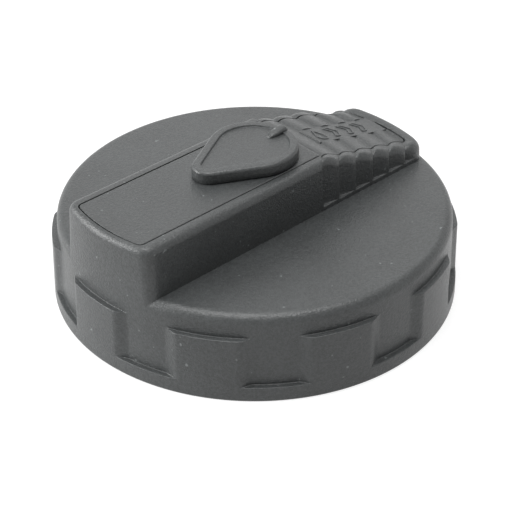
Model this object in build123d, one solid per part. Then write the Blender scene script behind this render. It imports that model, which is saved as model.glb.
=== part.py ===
"""Lockable fuel filler cap for a truck tank neck.

Frame: millimetres, +Z up, origin on the cap's axis at the rim's lower edge.
The handle runs along X: smooth end at -X, ribbed ramp at +X.
"""
from build123d import *
import math
import os

# ---- skirt and disc ---------------------------------------------------------
rim_radius = 52.0            # outer radius at the rim's lower edge
recess_step = 1.43           # the recessed wall stands back from the rim's by this
wall_draft = 0.027           # radius lost per mm of height
low_ledge_z = 4.45           # top of the plain band round the rim
high_ledge_z = 17.61         # top of the raised pads
disc_z = 23.06               # top face of the disc
disc_edge_round = 2.43
roof_thickness = 3.06
skirt_bore_radius = 47.8
flute_count = 10
flute_turn = -1.87           # angle of the pads against the handle's axis, degrees
recess_half_angle = 6.3      # half the flat of a recess
pad_half_angle = 8.5         # half the full height of a pad
rim_edge_round = 0.6

# ---- handle -----------------------------------------------------------------
cavity_left_wall = 7.57       # plastic left at the ends of the hollow handle
cavity_right_wall = 8.57
cavity_end_wall = 4.57
handle_half_width = 15.8     # at the disc
handle_top_z = 36.34
handle_taper = 4.5           # degrees, long sides
handle_corner_round = 3.5
handle_edge_round = 2.1
handle_wall = 2.6
ramp_start_x = 11.8          # first valley on the middle line
ramp_slope = 0.28            # fall per mm
ramp_pitch = 6.38
rib_count = 6
rib_depth = 1.0
rib_arc_radius = 34.0        # ribs curve with the rim, seen from above
rib_floor_z = 24.2           # the valleys end here on the sides
rib_edge_round = 1.9
rib_overlap = 0.5            # neighbouring ribs run into each other
valley_ref_x = 25.0
valley_ref_z = 32.85         # height of the valley line at valley_ref_x
sign_half_width = 4.0        # plain band left across the ribs
sign_rise = 0.15

# ---- panel let into the handle ----------------------------------------------
panel_half_width = 11.6
panel_left_radius = 47.9
panel_right_radius = 45.2
panel_corner_round = 1.4
panel_gap = 0.15             # groove half width round the panel
panel_floor_z = 33.8
panel_floor_bend_x = 12.0
panel_floor_slope = 0.272
panel_screw_xs = (-33.0, 28.0)
panel_boss_radius = 3.0
panel_screw_radius = 1.4
panel_screw_head_radius = 2.8
panel_pad_radius = 4.2

# ---- key cover --------------------------------------------------------------
pivot_x = -15.0
cover_small_radius = 4.4
cover_big_x = -0.5
cover_big_radius = 11.3
cover_thickness = 3.2
cover_lift = 0.2             # air under the cover
cover_edge_round = 0.8
cover_rim = 2.3
cover_recess = 0.5
fin_width = 2.2
pin_radius = 1.75
pin_clearance = 0.05
pin_depth_in_cover = 1.9
pin_bottom_z = 28.9
washer_radius = 3.8
washer_height = 0.9
clip_thickness = 0.7
clip_radius = 3.4
pin_groove_radius = 1.3

# ---- lock -------------------------------------------------------------------
housing_radius = 10.0
housing_clearance = 0.05
housing_top_z = 36.1
housing_flange_radius = 15.0
housing_flange_z = 12.2
housing_web = 1.8
boss_radius = 12.2
boss_foot_radius = 15.0
boss_bottom_z = 15.0
plug_radius = 6.5
plug_clearance = 0.05
plug_top_z = 35.7
keyway_width = 2.4
keyway_length = 8.4
keyway_bottom_z = 18.0
wafer_count = 5
wafer_first_z = 20.0
wafer_pitch = 2.8
wafer_thickness = 0.9
wafer_width = 6.0
wafer_window = (2.9, 8.8)
wafer_play = 0.1
tail_radius = 3.2
tail_across_flats = 4.8
tail_hole_play = 0.15
housing_screw_circle = 13.0
housing_screw_radius = 1.1
housing_screw_head_radius = 1.9
ring_tube_radius = 0.7
ring_z = 28.6

# ---- core, lug plate, bolt --------------------------------------------------
cup_outer_radius = 36.4      # cup of the sliding plate round the core
cup_wall = 1.4
cup_width = 5.8
cup_inner_radius = cup_outer_radius - cup_width
core_play = 0.4
core_radius = cup_inner_radius - core_play
core_bore_radius = 15.8
core_floor_z = 10.6
core_bottom_z = 7.2
tail_hole_radius = 6.2
lug_plate_thickness = 2.0
lug_plate_radius = 33.6
lug_radius = 43.4
lug_half_angle = 18.0
core_screw_x = 22.0
core_screw_y = 7.5
core_screw_radius = 2.0
core_screw_head_radius = 3.8
core_screw_head = 2.2
core_screw_tip_z = 26.0
core_boss_radius = 3.6
screw_hole_play = 0.3
cam_radius = 11.0
cam_thickness = 1.4
cam_gap = 0.1
bolt_travel = 4.0
bolt_pin_start = 5.5         # pin distance from the axis, bolt drawn in
bolt_pin_radius = 1.2
bolt_slot_play = 0.15
bolt_width = 9.0
bolt_thickness = 1.5
bolt_gap = 0.1
bolt_tip_y = 36.5
cover_plate_thickness = 1.4
cover_plate_radius = 18.0
cover_plate_reach = 31.0
cover_plate_half_width = 8.5
cover_screw_circle = 15.2
cover_screw_radius = 1.3
cover_screw_head_radius = 2.5
cover_screw_head = 1.4
cover_screw_length = 9.0

# ---- seal -------------------------------------------------------------------
seal_plate_radius = 46.6
seal_flange_z = 15.6
seal_flange_thickness = 1.4
cup_bottom_z = 7.4
gasket_play = 0.4
gasket_inner_radius = cup_outer_radius + gasket_play
gasket_outer_radius = 46.4
gasket_thickness = 3.2
seal_spring_play = 2.0
seal_spring_radius = cup_outer_radius - cup_wall - seal_spring_play
seal_spring_wire = 1.0       # half the wire's thickness
seal_spring_turns = 3.0

# ---- vent valve -------------------------------------------------------------
vent_bore_radius = 4.3
vent_wall = 4.4
vent_y = -(core_radius - vent_wall - vent_bore_radius)
vent_bore_top_z = 16.5
vent_hole_radius = 2.5
vent_inlet_radius = 1.5
poppet_radius = 3.9
poppet_thickness = 1.4
poppet_stem_radius = 1.4
poppet_stem_bottom_z = 10.2
vent_spring_radius = 2.6
vent_spring_wire = 0.15
vent_spring_turns = 5.0

# ---- values that follow from the ones above ---------------------------------
recess_radius = rim_radius - recess_step
roof_under_z = disc_z - roof_thickness
lug_plate_z = core_bottom_z - lug_plate_thickness
cam_top_z = lug_plate_z - cam_gap
cam_bottom_z = cam_top_z - cam_thickness
bolt_top_z = cam_bottom_z - bolt_gap
bolt_bottom_z = bolt_top_z - bolt_thickness
cover_plate_top_z = bolt_bottom_z - bolt_gap
cover_plate_bottom_z = cover_plate_top_z - cover_plate_thickness
plug_bottom_z = housing_flange_z + housing_web
cover_bottom_z = handle_top_z + cover_lift
cover_top_z = cover_bottom_z + cover_thickness
inner_roof_z = panel_floor_z - handle_wall
tall = 80.0


def wall_radius(base_radius, z):
    """Radius of a drafted wall at height z."""
    return base_radius - wall_draft * z


def cylinder(radius, z0, z1, x=0.0, y=0.0):
    """Upright cylinder between two heights."""
    return Pos(x, y, z0) * Cylinder(radius, z1 - z0, align=(Align.CENTER, Align.CENTER, Align.MIN))


def block(x0, x1, y0, y1, z0, z1):
    """Box given by its limits."""
    middle = Pos((x0 + x1) / 2, (y0 + y1) / 2, (z0 + z1) / 2)
    return middle * Box(x1 - x0, y1 - y0, z1 - z0)


def turned(points):
    """Solid turned about Z from (radius, z) points."""
    outline = make_face(Polyline(*[(r, 0, z) for r, z in points], close=True))
    return revolve(outline, Axis.Z)


def slab_xz(points, half_width):
    """Prism across Y from (x, z) points."""
    outline = make_face(Polyline(*[(x, 0, z) for x, z in points], close=True))
    return extrude(outline, amount=half_width, both=True)


def polar(radius, degrees, z=0.0):
    """Point on a circle."""
    a = math.radians(degrees)
    return (radius * math.cos(a), radius * math.sin(a), z)


# ---- the cap's outside ------------------------------------------------------
def fluted_face(z, ratio):
    """Outline of the skirt between the ledges: pads and recesses in turn."""
    pad = wall_radius(rim_radius, low_ledge_z) * ratio
    low = wall_radius(recess_radius, low_ledge_z) * ratio
    step = 360.0 / flute_count
    edges = []
    for i in range(flute_count):
        centre = 180.0 + flute_turn + i * step
        pad_end = polar(pad, centre + pad_half_angle, z)
        low_start = polar(low, centre + step / 2 - recess_half_angle, z)
        low_end = polar(low, centre + step / 2 + recess_half_angle, z)
        edges.append(ThreePointArc(polar(pad, centre - pad_half_angle, z), polar(pad, centre, z), pad_end))
        edges.append(Line(pad_end, low_start))
        edges.append(ThreePointArc(low_start, polar(low, centre + step / 2, z), low_end))
        edges.append(Line(low_end, polar(pad, centre + step - pad_half_angle, z)))
    return make_face(Wire(edges))


def skirt_outside():
    """Solid drum: plain band, fluted middle, plain upper band."""
    band = turned([
        (0, 0),
        (wall_radius(rim_radius, 0), 0),
        (wall_radius(rim_radius, low_ledge_z), low_ledge_z),
        (0, low_ledge_z),
    ])
    band = fillet(band.edges().group_by(Axis.Z)[0], rim_edge_round)
    ratio = wall_radius(recess_radius, high_ledge_z) / wall_radius(recess_radius, low_ledge_z)
    middle = loft([fluted_face(low_ledge_z, 1.0), fluted_face(high_ledge_z, ratio)], ruled=True)
    upper = turned([
        (0, low_ledge_z),
        (wall_radius(recess_radius, low_ledge_z), low_ledge_z),
        (wall_radius(recess_radius, disc_z), disc_z),
        (0, disc_z),
    ])
    upper = fillet(upper.edges().group_by(Axis.Z)[-1], disc_edge_round)
    return band + middle + upper


def upright_wall_limit():
    """Drafted cone that ends the handle flush with the upper band."""
    return turned([
        (0, low_ledge_z),
        (wall_radius(recess_radius, low_ledge_z), low_ledge_z),
        (wall_radius(recess_radius, tall), tall),
        (0, tall),
    ])


def valley_z(x):
    """Height of the valley line on the ramp, never above the first valley."""
    z = valley_ref_z - ramp_slope * (x - valley_ref_x)
    return min(z, handle_top_z - 0.7)


def valley_x(i):
    """Middle-line position of valley i."""
    return ramp_start_x + i * ramp_pitch


def tapered_sides(base_z, inset):
    """Long block with leaning sides, wider at the disc."""
    low_half = handle_half_width - inset + (disc_z - base_z) * math.tan(math.radians(handle_taper))
    outline = Pos(0, 0, base_z) * Rectangle(2 * tall, 2 * low_half)
    return extrude(outline, amount=handle_top_z - base_z, taper=handle_taper)


def arc_band(x0, x1):
    """Upright prism between two rib arcs, seen from above."""
    left = x0 - rib_arc_radius
    right = x1 - rib_arc_radius
    ring = cylinder(rib_arc_radius, 0, tall, right) - cylinder(rib_arc_radius, 0, tall, left)
    return ring & block(x0 - 12, x1 + 1, -25, 25, 0, tall)


def handle_column():
    """Whole handle before its top is shaped: leaning sides, rounded corners."""
    body = tapered_sides(disc_z - 4, 0) & upright_wall_limit()
    corners = body.edges().filter_by(
        lambda e: abs(e.center().X) > 2 * handle_half_width
        and e.bounding_box().size.X < handle_edge_round
        and e.bounding_box().size.Z > handle_top_z - disc_z - handle_edge_round
    )
    return fillet(corners, handle_corner_round)


def smooth_handle():
    """Left part of the handle, up to the first rib."""
    body = handle_column()
    body = fillet(body.faces().sort_by(Axis.Z)[-1].edges(), handle_edge_round)
    centre_x = ramp_start_x - rib_arc_radius
    keep = cylinder(rib_arc_radius, 0, tall, centre_x) + block(-tall, centre_x, -25, 25, 0, tall)
    return body & keep


def rib_top(x0, z0, x1, z1, rise):
    """Solid under one rib: an arc profile carried round the rib's curve."""
    xm = (x0 + x1) / 2
    zm = (z0 + z1) / 2 + rise
    extra = 0.2
    dx = x1 - x0
    slope = (z1 - z0) / dx
    fall = 4 * rise * extra * (1 + extra)
    a = (x0 - extra * dx, z0 - slope * extra * dx - fall)
    b = (x1 + extra * dx, z1 + slope * extra * dx - fall)
    arc = ThreePointArc((a[0], 0, a[1]), (xm, 0, zm), (b[0], 0, b[1]))
    outline = make_face(Wire([
        arc,
        Line((b[0], 0, b[1]), (b[0], 0, low_ledge_z)),
        Line((b[0], 0, low_ledge_z), (a[0], 0, low_ledge_z)),
        Line((a[0], 0, low_ledge_z), (a[0], 0, a[1])),
    ]))
    centre_x = xm - rib_arc_radius
    spin = Axis((centre_x, 0, 0), (0, 0, 1))
    half = 60.0
    first = outline.rotate(spin, -half)
    return revolve(first, spin, 2 * half)


def rib_side_waste(x0, x1, side):
    """Waste outside one rounded side of a rib: a leaning prism."""
    valley_half = handle_half_width - rib_depth
    sagitta = rib_arc_radius - math.sqrt(rib_arc_radius ** 2 - valley_half ** 2)
    extra = 0.25
    dx = x1 - x0
    xm = (x0 + x1) / 2 - sagitta
    xa = xm - dx * (0.5 + extra)
    xb = xm + dx * (0.5 + extra)
    depth = rib_depth * (1 + 4 * extra * (1 + extra))
    inner = side * (handle_half_width - depth)
    out = side * handle_half_width
    outline = make_face(Wire([
        ThreePointArc((xa, inner, disc_z), (xm, out, disc_z), (xb, inner, disc_z)),
        Line((xb, inner, disc_z), (xb, side * 30, disc_z)),
        Line((xb, side * 30, disc_z), (xa, side * 30, disc_z)),
        Line((xa, side * 30, disc_z), (xa, inner, disc_z)),
    ]))
    lean = math.tan(math.radians(handle_taper))
    up = Vector(0, -side * lean, 1)
    upper = extrude(outline, amount=tall - disc_z, dir=up)
    lower = extrude(outline, amount=disc_z - low_ledge_z, dir=-up)
    return upper + lower


def rib(i):
    """One rib of the ramp before its shoulders are rounded."""
    x0 = valley_x(i)
    x1 = valley_x(i + 1)
    half = handle_half_width + 0.5
    body = rib_top(x0, valley_z(x0), x1, valley_z(x1), rib_depth)
    if i == rib_count - 1:
        return body & arc_band(x0 - rib_overlap, x0 + 30) & handle_column()
    body = body & arc_band(x0 - rib_overlap, x1 + rib_overlap) & block(-tall, tall, -half, half, disc_z - 4, tall)
    return body - rib_side_waste(x0, x1, 1) - rib_side_waste(x0, x1, -1)


def rounded_rib(i):
    """Rib with its upper edges rounded."""
    body = rib(i)
    last = i == rib_count - 1
    middle_x = valley_x(i) + ramp_pitch / 2
    shoulders = body.edges().filter_by(
        lambda e: e.center().Z > rib_floor_z + rib_edge_round / 2
        and e.bounding_box().size.Z < e.bounding_box().size.X + e.bounding_box().size.Y
        and (abs(e.center().Y) > handle_half_width - 3.3 or (last and e.center().X > middle_x))
    )
    for share in (1.0, 0.95, 1.05, 0.9, 0.85, 0.8, 0.75, 0.7, 0.6, 0.5, 0.4, 0.3):
        try:
            return fillet(shoulders, rib_edge_round * share)
        except ValueError:
            continue
    raise ValueError("rib edges cannot be rounded")


def ribbed_handle():
    """Ramp end of the handle: pedestal and ribs."""
    body = handle_column() & arc_band(ramp_start_x - 0.2, ramp_start_x + 60)
    body = body & block(-tall, tall, -25, 25, disc_z - 4, rib_floor_z)
    for i in range(rib_count):
        body = body + rounded_rib(i)
    return body - sign_band()


def sign_band():
    """Waste over the plain band left across the ribs for a sign."""
    x0 = valley_x(1)
    x1 = valley_x(rib_count - 1)
    z0 = valley_z(x0) + sign_rise
    z1 = valley_z(x1) + sign_rise
    return slab_xz([(x0, z0), (x1, z1), (x1, tall), (x0, tall)], sign_half_width)


def cap_outside():
    """Everything seen from above as one solid, panel and shell together."""
    return skirt_outside() + smooth_handle() + ribbed_handle()


# ---- shell and panel --------------------------------------------------------
def panel_prism(gap):
    """Upright prism of the panel's outline, grown by gap."""
    half = panel_half_width + gap
    body = block(-tall, tall, -half, half, 0, tall)
    left = cylinder(panel_left_radius + gap, 0, tall) & block(-tall, 0, -tall, tall, 0, tall)
    right = cylinder(panel_right_radius + gap, 0, tall) & block(0, tall, -tall, tall, 0, tall)
    body = body & (left + right)
    uprights = body.edges().filter_by(Axis.Z).filter_by(lambda e: abs(e.center().Y) > half - 0.5)
    return fillet(uprights, panel_corner_round + gap)


def above_panel_floor(drop):
    """Space above the pocket floor, lowered by drop."""
    end_x = 60.0
    z0 = panel_floor_z - drop
    z1 = z0 - panel_floor_slope * (end_x - panel_floor_bend_x)
    return slab_xz([(-60, z0), (panel_floor_bend_x, z0), (end_x, z1), (end_x, tall), (-60, tall)], 30)


def floor_z_at(x):
    """Pocket floor height at x."""
    return panel_floor_z - panel_floor_slope * max(0.0, x - panel_floor_bend_x)


def pad_z_at(x):
    """Flat seat for a panel screw head under the handle's roof."""
    return floor_z_at(x + panel_pad_radius) - handle_wall - 0.6


def panel_blank():
    """Middle of the handle's top with plain ribs, clear of its rounded edges."""
    half = handle_half_width - handle_edge_round
    flat = block(-tall, ramp_start_x, -half, half, disc_z, handle_top_z)
    centre_x = ramp_start_x - rib_arc_radius
    body = flat & (cylinder(rib_arc_radius, 0, tall, centre_x) + block(-tall, centre_x, -half, half, 0, tall))
    for i in range(rib_count):
        body = body + (rib(i) & block(-tall, tall, -half, half, disc_z, tall))
    return body - sign_band()


def handle_panel():
    """Panel with its ribbed end, bosses and the openings for lock and pin."""
    body = (panel_blank() & panel_prism(-panel_gap)) & above_panel_floor(0)
    for x in panel_screw_xs:
        body = body + cylinder(panel_boss_radius, pad_z_at(x) + 1.6, floor_z_at(x) + 0.4, x)
        body = body - cylinder(panel_screw_radius, 0, floor_z_at(x) + 1.2, x)
    body = body - cylinder(housing_radius + 0.3, 0, tall)
    return body - cylinder(pin_radius + pin_clearance, 0, tall, pivot_x)


def handle_cavity():
    """Hollow under the handle, open to the skirt."""
    half = handle_half_width - handle_wall - 0.9
    left = -(recess_radius - cavity_left_wall)
    right = recess_radius - cavity_right_wall
    roof = slab_xz([
        (left, roof_under_z - 1),
        (left, inner_roof_z),
        (panel_floor_bend_x - 0.7, inner_roof_z),
        (right, inner_roof_z - panel_floor_slope * (right - panel_floor_bend_x + 0.7)),
        (right, roof_under_z - 1),
    ], half)
    return roof & cylinder(recess_radius - cavity_end_wall, 0, tall)


def cap_shell():
    """Main moulding: skirt, disc, handle, lock boss and screw columns."""
    body = cap_outside() - (panel_prism(panel_gap) & above_panel_floor(0))
    bore = cylinder(skirt_bore_radius, -1, roof_under_z)
    bore = fillet(bore.edges().group_by(Axis.Z)[-1], 1.5)
    body = body - bore - handle_cavity()
    boss = cylinder(boss_radius, roof_under_z - 0.5, inner_roof_z + 0.5)
    foot = cylinder(boss_foot_radius, boss_bottom_z, roof_under_z + 0.5)
    pocket = cylinder(washer_radius + 0.25, pin_bottom_z - 0.5, inner_roof_z, pivot_x)
    body = body + (boss - pocket) + foot
    for x in (-core_screw_x, core_screw_x):
        for y in (-core_screw_y, core_screw_y):
            top = floor_z_at(x + core_boss_radius) - handle_wall + 0.5
            body = body + cylinder(core_boss_radius, roof_under_z, top, x, y)
            body = body - cylinder(core_screw_radius, 0, core_screw_tip_z + 0.8, x, y)
    for x in panel_screw_xs:
        body = body + cylinder(panel_pad_radius, pad_z_at(x), floor_z_at(x + panel_pad_radius) - 0.2, x)
        body = body - cylinder(panel_boss_radius + 0.3, pad_z_at(x) + 1.5, tall, x)
        body = body - cylinder(panel_screw_radius + 0.3, 0, tall, x)
    body = body - cylinder(housing_radius + housing_clearance, 0, tall)
    body = body - cylinder(pin_radius + pin_clearance, 0, tall, pivot_x)
    for i in range(3):
        x, y, z = polar(housing_screw_circle, 90 + 120 * i)
        body = body - cylinder(housing_screw_radius, 0, boss_bottom_z + 4.2, x, y)
    return body


def panel_screws():
    """Two self-tapping screws that hold the panel from below."""
    screws = []
    for x in panel_screw_xs:
        seat = pad_z_at(x)
        head = cylinder(panel_screw_head_radius, seat - 1.8, seat, x)
        shank = cylinder(panel_screw_radius, seat - 0.5, floor_z_at(x) + 1.0, x)
        recess = cylinder(1.1, seat - 2, seat - 0.9, x)
        screws.append(head + shank - recess)
    return Compound(screws)


# ---- key cover --------------------------------------------------------------
def drop_outline(inset, z):
    """Drop shape: a small and a big circle with their common tangents."""
    r0 = cover_small_radius - inset
    r1 = cover_big_radius - inset
    reach = cover_big_x - pivot_x
    lean = math.acos((r0 - r1) / reach)
    a = math.degrees(lean)
    x0, y0, _ = polar(r0, a)
    x1, y1, _ = polar(r1, a)
    return make_face(Wire([
        ThreePointArc((pivot_x + x0, y0, z), (pivot_x - r0, 0, z), (pivot_x + x0, -y0, z)),
        Line((pivot_x + x0, -y0, z), (cover_big_x + x1, -y1, z)),
        ThreePointArc((cover_big_x + x1, -y1, z), (cover_big_x + r1, 0, z), (cover_big_x + x1, y1, z)),
        Line((cover_big_x + x1, y1, z), (pivot_x + x0, y0, z)),
    ]))


def key_cover():
    """Drop-shaped swinging cover with a raised rim and a finger tab."""
    body = extrude(drop_outline(0, cover_bottom_z), amount=cover_thickness, dir=(0, 0, 1))
    body = fillet(body.edges().group_by(Axis.Z)[-1], cover_edge_round)
    body = body - extrude(drop_outline(cover_rim, cover_top_z - cover_recess), amount=2, dir=(0, 0, 1))
    tab = slab_xz([
        (4.0, cover_top_z - 1.0),
        (4.2, cover_top_z + 0.1),
        (5.4, cover_top_z + 0.6),
        (8.6, cover_top_z + 1.1),
        (9.6, cover_top_z + 0.8),
        (10.1, cover_top_z - 1.0),
    ], fin_width / 2)
    steep = tab.edges().filter_by(lambda e: e.bounding_box().size.Z > e.bounding_box().size.X + 0.5)
    tab = fillet(steep, 0.8)
    tab = fillet(tab.edges().filter_by(lambda e: e.center().Z > cover_top_z + 0.3), 0.35)
    body = body + tab
    socket = cylinder(pin_radius, cover_bottom_z - 1, cover_bottom_z + pin_depth_in_cover, pivot_x)
    well = cylinder(cover_big_radius - 2.6, cover_bottom_z - 1, cover_bottom_z + 0.9, cover_big_x)
    return body - socket - well


def cover_pivot_pin():
    """Plain pin pressed into the cover, grooved for its clip."""
    body = cylinder(pin_radius, pin_bottom_z, cover_bottom_z + pin_depth_in_cover, pivot_x)
    body = chamfer(body.edges().group_by(Axis.Z)[0], 0.3)
    groove_z = clip_z()
    groove = cylinder(pin_radius + 1, groove_z, groove_z + clip_thickness, pivot_x)
    groove = groove - cylinder(pin_groove_radius, 0, tall, pivot_x)
    return body - groove


def clip_z():
    """Lower face of the clip on the pivot pin."""
    return inner_roof_z - washer_height - clip_thickness - 0.05


def cover_spring_washer():
    """Domed washer that holds the cover down with a light friction."""
    inner = pin_radius + 0.35
    ring = turned([
        (inner, inner_roof_z - washer_height),
        (inner + 1.0, inner_roof_z - washer_height),
        (washer_radius, inner_roof_z - 0.6),
        (washer_radius, inner_roof_z),
        (washer_radius - 1.0, inner_roof_z),
        (inner, inner_roof_z - washer_height + 0.5),
    ])
    return Pos(pivot_x, 0, 0) * ring


def cover_pin_clip():
    """Open retaining ring in the pin's groove."""
    z = clip_z()
    ring = cylinder(clip_radius, z, z + clip_thickness, pivot_x)
    ring = ring - cylinder(pin_groove_radius, 0, tall, pivot_x)
    return ring - block(pivot_x, pivot_x + 5, -0.9, 0.9, z - 1, z + 2)


# ---- lock -------------------------------------------------------------------
def lock_housing():
    """Barrel with a foot flange, a web under the plug and a seal groove."""
    body = turned([
        (tail_radius + 0.4, housing_flange_z),
        (housing_flange_radius, housing_flange_z),
        (housing_flange_radius, boss_bottom_z - 0.05),
        (housing_radius, boss_bottom_z - 0.05),
        (housing_radius, ring_z - 0.9),
        (housing_radius - 1.5, ring_z - 0.9),
        (housing_radius - 1.5, ring_z + 0.9),
        (housing_radius, ring_z + 0.9),
        (housing_radius, housing_top_z - 0.5),
        (housing_radius - 0.5, housing_top_z),
        (plug_radius + plug_clearance, housing_top_z),
        (plug_radius + plug_clearance, plug_bottom_z),
        (tail_radius + 0.4, plug_bottom_z),
    ])
    for i in range(3):
        x, y, z = polar(housing_screw_circle, 90 + 120 * i)
        body = body - cylinder(housing_screw_radius + 0.3, 0, boss_bottom_z + 1, x, y)
    return body


def housing_screws():
    """Three small screws through the housing's foot."""
    screws = []
    for i in range(3):
        x, y, z = polar(housing_screw_circle, 90 + 120 * i)
        head = cylinder(housing_screw_head_radius, housing_flange_z - 1.3, housing_flange_z, x, y)
        shank = cylinder(housing_screw_radius, housing_flange_z - 0.3, boss_bottom_z + 3.8, x, y)
        recess = cylinder(0.8, housing_flange_z - 2, housing_flange_z - 0.7, x, y)
        screws.append(head + shank - recess)
    return Compound(screws)


def wafer_z(i):
    """Lower face of wafer i."""
    return wafer_first_z + i * wafer_pitch


def lock_plug():
    """Turning plug with keyway, wafer slots and a flatted tail."""
    body = cylinder(plug_radius, plug_bottom_z + 0.05, plug_top_z)
    body = chamfer(body.edges().group_by(Axis.Z)[-1], 0.4)
    half = keyway_length / 2
    body = body - block(-keyway_width / 2, keyway_width / 2, -half, half, keyway_bottom_z, tall)
    for i in range(wafer_count):
        z = wafer_z(i)
        w = wafer_width / 2 + wafer_play
        body = body - block(-w, w, -10, 10, z - wafer_play, z + wafer_thickness + wafer_play)
    tail = cylinder(tail_radius, cam_bottom_z, plug_bottom_z + 1)
    flat = tail_across_flats / 2
    cuts = block(flat, 5, -5, 5, 0, core_floor_z - 1) + block(-5, -flat, -5, 5, 0, core_floor_z - 1)
    groove_z = housing_flange_z - 0.15 - clip_thickness
    groove = cylinder(tail_radius + 1, groove_z, groove_z + clip_thickness)
    groove = groove - cylinder(tail_radius - 0.5, 0, tall)
    return body + (tail - cuts - groove)


def lock_wafers():
    """Five spring-leaf wafers, each a plate with a key window."""
    plates = []
    for i in range(wafer_count):
        z = wafer_z(i)
        w = wafer_width / 2
        plate = block(-w, w, -10, 10, z, z + wafer_thickness)
        plate = plate & cylinder(plug_radius - 0.1, 0, tall)
        u = wafer_window[0] / 2
        v = wafer_window[1] / 2
        plates.append(plate - block(-u, u, -v, v, z - 1, z + 2))
    return Compound(plates)


def plug_clip():
    """Open retaining ring on the plug's tail."""
    z = housing_flange_z - 0.15 - clip_thickness
    ring = cylinder(5.6, z, z + clip_thickness) - cylinder(tail_radius - 0.5, 0, tall)
    return ring - block(0, 8, -1.4, 1.4, z - 1, z + 2)


def lock_seal_ring():
    """Round-section rubber ring in the housing's groove."""
    centre = housing_radius - 1.5 + ring_tube_radius
    return Pos(0, 0, ring_z) * Torus(centre, ring_tube_radius)


def cam_disc():
    """Disc on the plug's tail with a spiral slot for the bolt's pin."""
    body = cylinder(cam_radius, cam_bottom_z, cam_top_z)
    start = (0, bolt_pin_start, cam_bottom_z - 1)
    middle = polar(bolt_pin_start + bolt_travel / 2, 45, cam_bottom_z - 1)
    end = (bolt_pin_start + bolt_travel, 0, cam_bottom_z - 1)
    half = bolt_pin_radius + bolt_slot_play
    track = SlotArc(ThreePointArc(start, middle, end), 2 * half)
    body = body - extrude(track, amount=4, dir=(0, 0, 1))
    flat = tail_across_flats / 2 + tail_hole_play
    hole = cylinder(tail_radius + tail_hole_play, 0, tall) & block(-flat, flat, -5, 5, 0, tall)
    return body - hole


def lock_bolt():
    """Flat bolt with its follower pin and a chamfered nose."""
    half = bolt_width / 2
    body = block(-half, half, bolt_pin_start - 2.2, bolt_tip_y, bolt_bottom_z, bolt_top_z)
    nose = body.edges().filter_by(Axis.Z).group_by(Axis.Y)[-1]
    body = chamfer(nose, 1.5)
    pin = cylinder(bolt_pin_radius, bolt_bottom_z + 0.2, cam_top_z - 0.1, 0, bolt_pin_start)
    return body + pin


def bolt_cover():
    """Moulded cover that guides the bolt and hides the cam."""
    body = cylinder(cover_plate_radius, cover_plate_bottom_z, lug_plate_z)
    w = cover_plate_half_width
    body = body + block(-w, w, 0, cover_plate_reach, cover_plate_bottom_z, lug_plate_z)
    body = fillet(body.edges().group_by(Axis.Z)[0], 0.5)
    body = body - cylinder(cam_radius + 0.6, bolt_top_z - 0.3, tall)
    channel = bolt_width / 2 + 0.1
    reach = block(-channel, channel, bolt_pin_start - 3.4, tall, cover_plate_top_z, tall)
    body = body - reach
    for angle in (45, 135, 225, 315):
        x, y, z = polar(cover_screw_circle, angle)
        body = body - cylinder(cover_screw_radius + 0.3, 0, tall, x, y)
        body = body - cylinder(cover_screw_head_radius + 0.2, 0, cover_plate_bottom_z + cover_screw_head, x, y)
    return body


def bolt_cover_screws():
    """Four screws through the bolt cover and lug plate into the core."""
    screws = []
    for angle in (45, 135, 225, 315):
        x, y, z = polar(cover_screw_circle, angle)
        seat = cover_plate_bottom_z + cover_screw_head
        head = cylinder(cover_screw_head_radius, seat - cover_screw_head + 0.1, seat, x, y)
        shank = cylinder(cover_screw_radius, seat - 0.3, seat + cover_screw_length, x, y)
        recess = cylinder(1.0, 0, seat - 0.7, x, y)
        screws.append(head + shank - recess)
    return Compound(screws)


# ---- core and lug plate -----------------------------------------------------
def core_holes(extra):
    """Holes for the four long screws, grown by extra."""
    holes = []
    for x in (-core_screw_x, core_screw_x):
        for y in (-core_screw_y, core_screw_y):
            holes.append(cylinder(core_screw_radius + extra, 0, roof_under_z + 1, x, y))
    return Compound(holes)


def core_body():
    """Moulded core screwed up against the disc's underside."""
    body = cylinder(core_radius, core_bottom_z, roof_under_z)
    body = body - cylinder(core_bore_radius, core_floor_z, tall)
    body = body - cylinder(tail_hole_radius, 0, tall)
    body = body - core_holes(screw_hole_play)
    body = body - cylinder(vent_bore_radius, 0, vent_bore_top_z, 0, vent_y)
    body = body - cylinder(vent_hole_radius, 0, tall, 0, vent_y)
    body = body - block(-1.2, 1.2, -tall, vent_y, roof_under_z - 1.0, tall)
    seat = cover_plate_bottom_z + cover_screw_head
    for angle in (45, 135, 225, 315):
        x, y, z = polar(cover_screw_circle, angle)
        body = body - cylinder(cover_screw_radius, 0, min(seat + cover_screw_length + 0.5, 13), x, y)
    return body


def lug_plate():
    """Steel plate with the two bayonet lugs."""
    body = cylinder(lug_plate_radius, lug_plate_z, core_bottom_z)
    ring = cylinder(lug_radius, lug_plate_z, core_bottom_z)
    reach = 60.0
    y = reach * math.sin(math.radians(lug_half_angle))
    x = reach * math.cos(math.radians(lug_half_angle))
    for side in (1, -1):
        wedge = make_face(Polyline((0, 0, 0), (side * x, y, 0), (side * x, -y, 0), close=True))
        wedge = extrude(wedge, amount=tall, dir=(0, 0, 1))
        body = body + (ring & wedge)
    uprights = body.edges().filter_by(Axis.Z).filter_by(lambda e: math.hypot(e.center().X, e.center().Y) > 40)
    body = fillet(uprights, 2.0)
    body = body - cylinder(tail_radius + 1.0, 0, tall)
    body = body - core_holes(screw_hole_play)
    body = body - cylinder(vent_inlet_radius, 0, tall, 0, vent_y)
    for angle in (45, 135, 225, 315):
        x, y, z = polar(cover_screw_circle, angle)
        body = body - cylinder(cover_screw_radius + screw_hole_play, 0, tall, x, y)
    return body


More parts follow.
